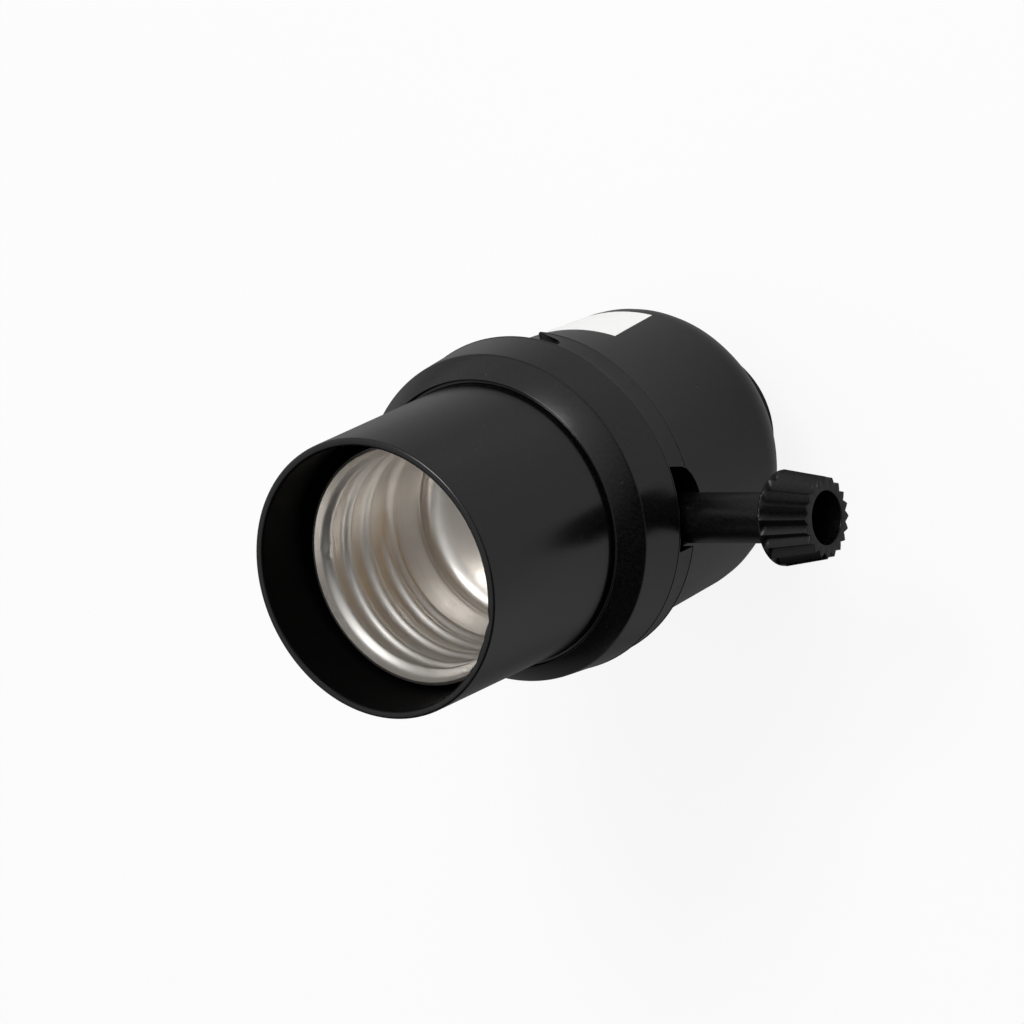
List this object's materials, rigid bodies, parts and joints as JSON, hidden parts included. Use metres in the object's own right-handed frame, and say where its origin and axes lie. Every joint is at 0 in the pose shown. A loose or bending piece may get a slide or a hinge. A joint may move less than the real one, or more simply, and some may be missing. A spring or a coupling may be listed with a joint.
{
  "type": "turn knob lamp socket",
  "caption": "Lamp socket with a screw shell for a bulb, a threaded hub for a lamp pipe and a turn knob switch on its side.",
  "frame": {"origin": "centre of the hub's rear face, where the lamp pipe screws in", "axes": "+Z along the bulb axis out of the socket's mouth, +X along the knob's shaft towards the knob, +Y to the side that carries the label"},
  "size_m": [0.0565, 0.0398, 0.0685],
  "materials": {
    "black_plastic": "satin moulded thermoplastic, black",
    "phenolic": "matt moulded phenolic, near black",
    "nickel_silver": "nickel-plated brass sheet, warm grey",
    "brass": "plain brass",
    "steel": "zinc-plated steel",
    "spring_steel": "bare spring steel",
    "zinc": "zinc-plated steel, turned",
    "fibre": "vulcanised fibre, red-brown",
    "paper": "matt white paper, blank"
  },
  "bodies": {
    "socket": {"front_shell": "black_plastic", "rear_cap": "black_plastic", "hub_insert": "zinc", "set_screw": "steel", "switch_body": "phenolic", "switch_cover": "phenolic", "screw_shell": "nickel_silver", "shell_rivets": "brass", "contact_insulator": "fibre", "center_contact": "brass", "contact_rivet": "brass", "load_contact": "brass", "neutral_terminal": "nickel_silver", "neutral_screw": "steel", "hot_terminal": "brass", "hot_screw": "brass", "cover_screws": "steel", "detent_spring": "spring_steel", "label": "paper"},
    "turn_knob": {"knob": "black_plastic", "switch_shaft": "brass", "rotor": "phenolic", "contact_bar": "brass"}
  },
  "joints": [
    {"name": "knob_turn", "type": "hinge", "parent": "socket", "child": "turn_knob", "pos_m": [0, -0.0027, 0.0323], "axis": [1, 0, 0], "continuous": true, "deforming": ["detent_spring"]}
  ]
}
